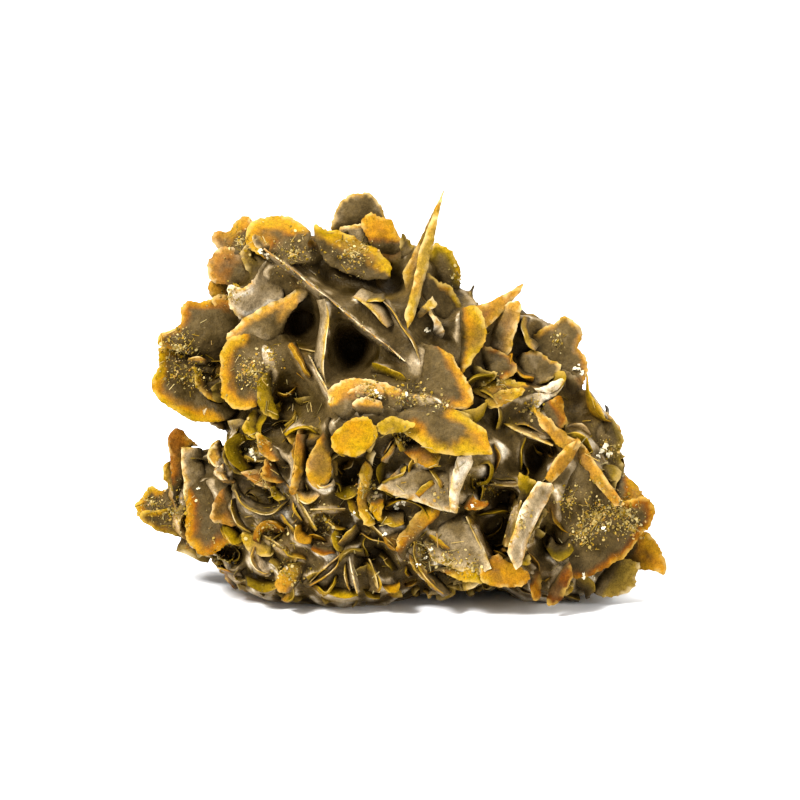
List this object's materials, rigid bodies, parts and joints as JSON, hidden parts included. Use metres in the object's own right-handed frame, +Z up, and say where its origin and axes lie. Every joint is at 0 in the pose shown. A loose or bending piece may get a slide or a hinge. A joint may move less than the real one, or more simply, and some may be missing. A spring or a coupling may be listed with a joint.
{
  "type": "wulfenite specimen",
  "caption": "Free-standing cluster of thin wulfenite blades grown through one another, with gold-rimmed plates, pits and a tall spike, on a broken flat underside.",
  "frame": {"origin": "middle of the specimen's bounding box, on the flat it rests on", "axes": "+X across the show side to the right, +Y away from the viewer of the show side, +Z up"},
  "size_m": [0.0666, 0.043, 0.0512],
  "materials": {
    "wulfenite": "sugary golden and orange rims on grey-brown, slightly glossy blades"
  },
  "bodies": {
    "root": {"wulfenite_cluster": "wulfenite"}
  },
  "joints": []
}
